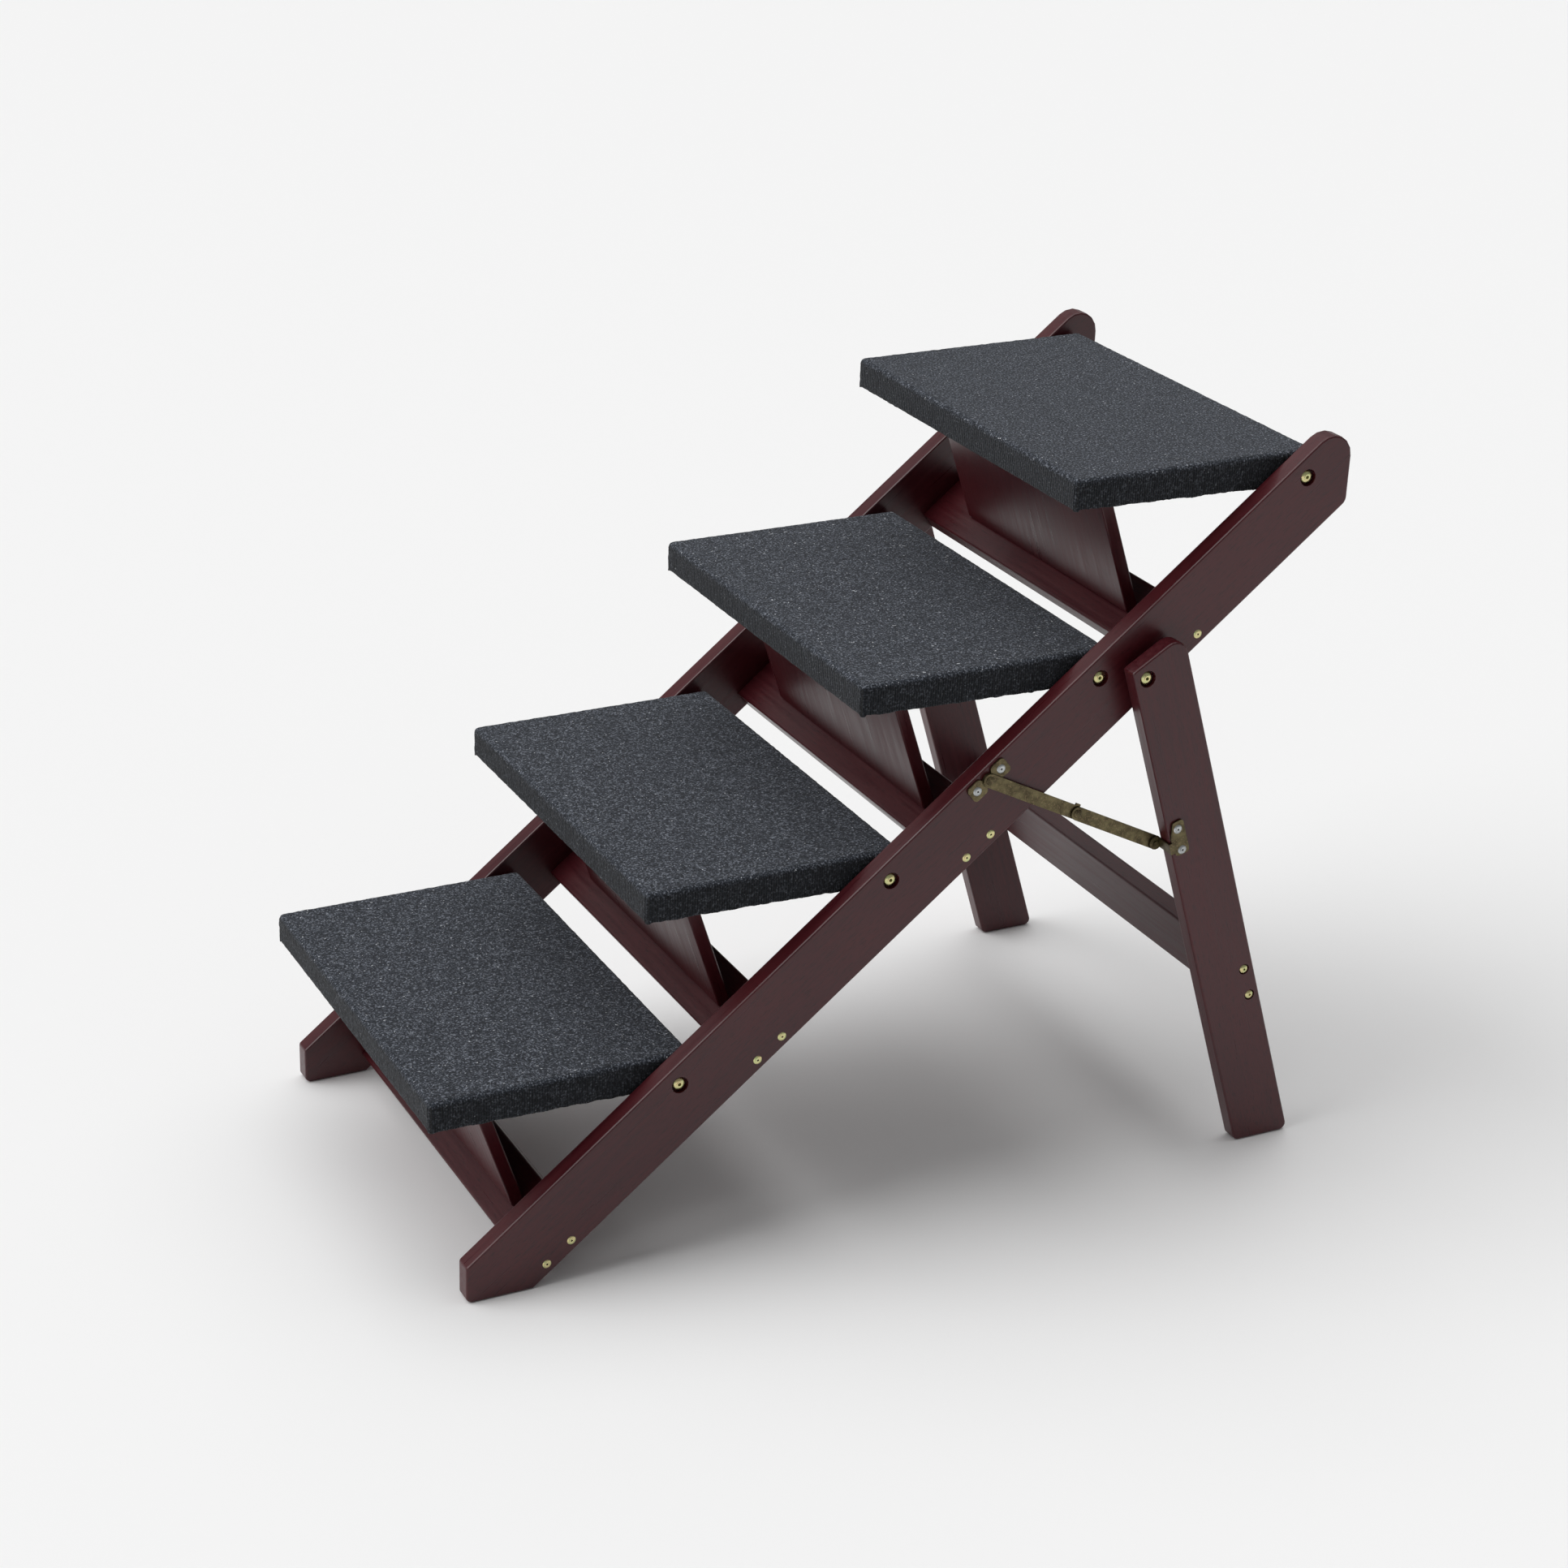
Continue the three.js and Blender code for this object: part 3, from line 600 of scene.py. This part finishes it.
screws = {
    "batten": 14.5,           # mm along the rail, each way from the batten's middle
    "railBracket": 14.0,
    "legBracketDown": (-16.7, 5.1),   # mm down the leg from the stay's lower rivet
    "legBracketRear": 14.1,
    "sunk": {"wood": 0.3, "plate": 0.1},
}


# Cross-head wood screws: two in each end of every batten, two in every stay bracket.
def makeScrews(yellow, white):
    random.seed(11)
    for where, side in sides.items():

        def setPair(name, places, face, body, material):
            heads = []
            for at in places:
                at.y = side * face
                heads.append(makeFastener(at, Vector((0, side, 0)), crossHead))
            finishFasteners(f"{name}_{where}", heads, body, material)

        for k in (1, 2, 3, 4):
            low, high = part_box(f"batten_{k}")
            places = [(low + high) / 2 + climb * end * screws["batten"] * mm for end in (-1, 1)]
            face = railOuter - screws["sunk"]["wood"] * mm
            setPair(f"batten_screws_{k}", places, face, "root", yellow)
        low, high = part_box(f"rail_bracket_{where}")
        places = [(low + high) / 2 + climb * end * screws["railBracket"] * mm for end in (-1, 1)]
        face = (high.y if side > 0 else -low.y) - screws["sunk"]["plate"] * mm
        setPair("rail_bracket_screws", places, face, "root", white)
        low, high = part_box(f"leg_bracket_{where}")
        face = (high.y if side > 0 else -low.y) - screws["sunk"]["plate"] * mm
        low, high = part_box(f"leg_rivet_{where}")
        rivet, back = (low + high) / 2, legRearward * screws["legBracketRear"] * mm
        places = [rivet + legDown * down * mm + back for down in screws["legBracketDown"]]
        setPair("leg_bracket_screws", places, face, "leg_frame", white)
    print("screws set")


# Materials for the CAD nodes that stay.
def dressCadNodes():
    sloped = stainedWood("cherry_lacquer_rail", climb)
    upright = stainedWood("cherry_lacquer_leg", legDown)
    crosswise = stainedWood("cherry_lacquer_batten", (0, 1, 0))
    panelWood = stainedWood("cherry_lacquer_panel", (-0.32, 0, 0.95))
    metals = {name: platedSteel(*plating) for name, plating in platings.items()}
    yellow, white, bronze = metals["yellow"], metals["white"], metals["bronze"]
    chosen = {
        "rail_left": sloped, "rail_right": sloped, "leg_left": upright, "leg_right": upright,
        "batten": crosswise, "cross_board": crosswise, "support_panel": panelWood,
        # the leg spacer is near-black as painted shade for the gap between leg and rail
        "step_board": rawPlywood(), "leg_spacer": shadeBlackSpacer(), "hinge_leaf": white,
        "step_bolt": yellow, "leg_bolt": yellow, "cross_screw": yellow,
        "rail_bracket": bronze, "stay_": bronze, "leg_bracket": bronze,
        "rail_rivet": bronze, "elbow_rivet": bronze, "leg_rivet": bronze,
    }
    for name, node in frame["nodes"].items():
        for start, material in chosen.items():
            if name.startswith(start):
                node.data.materials.clear()
                node.data.materials.append(material)
    print("frame dressed")
    return metals


makeCamera()
makeStudio()
metals = dressCadNodes()
makeCarpets()
makeBolts(metals["yellow"])
makeScrews(metals["yellow"], metals["white"])
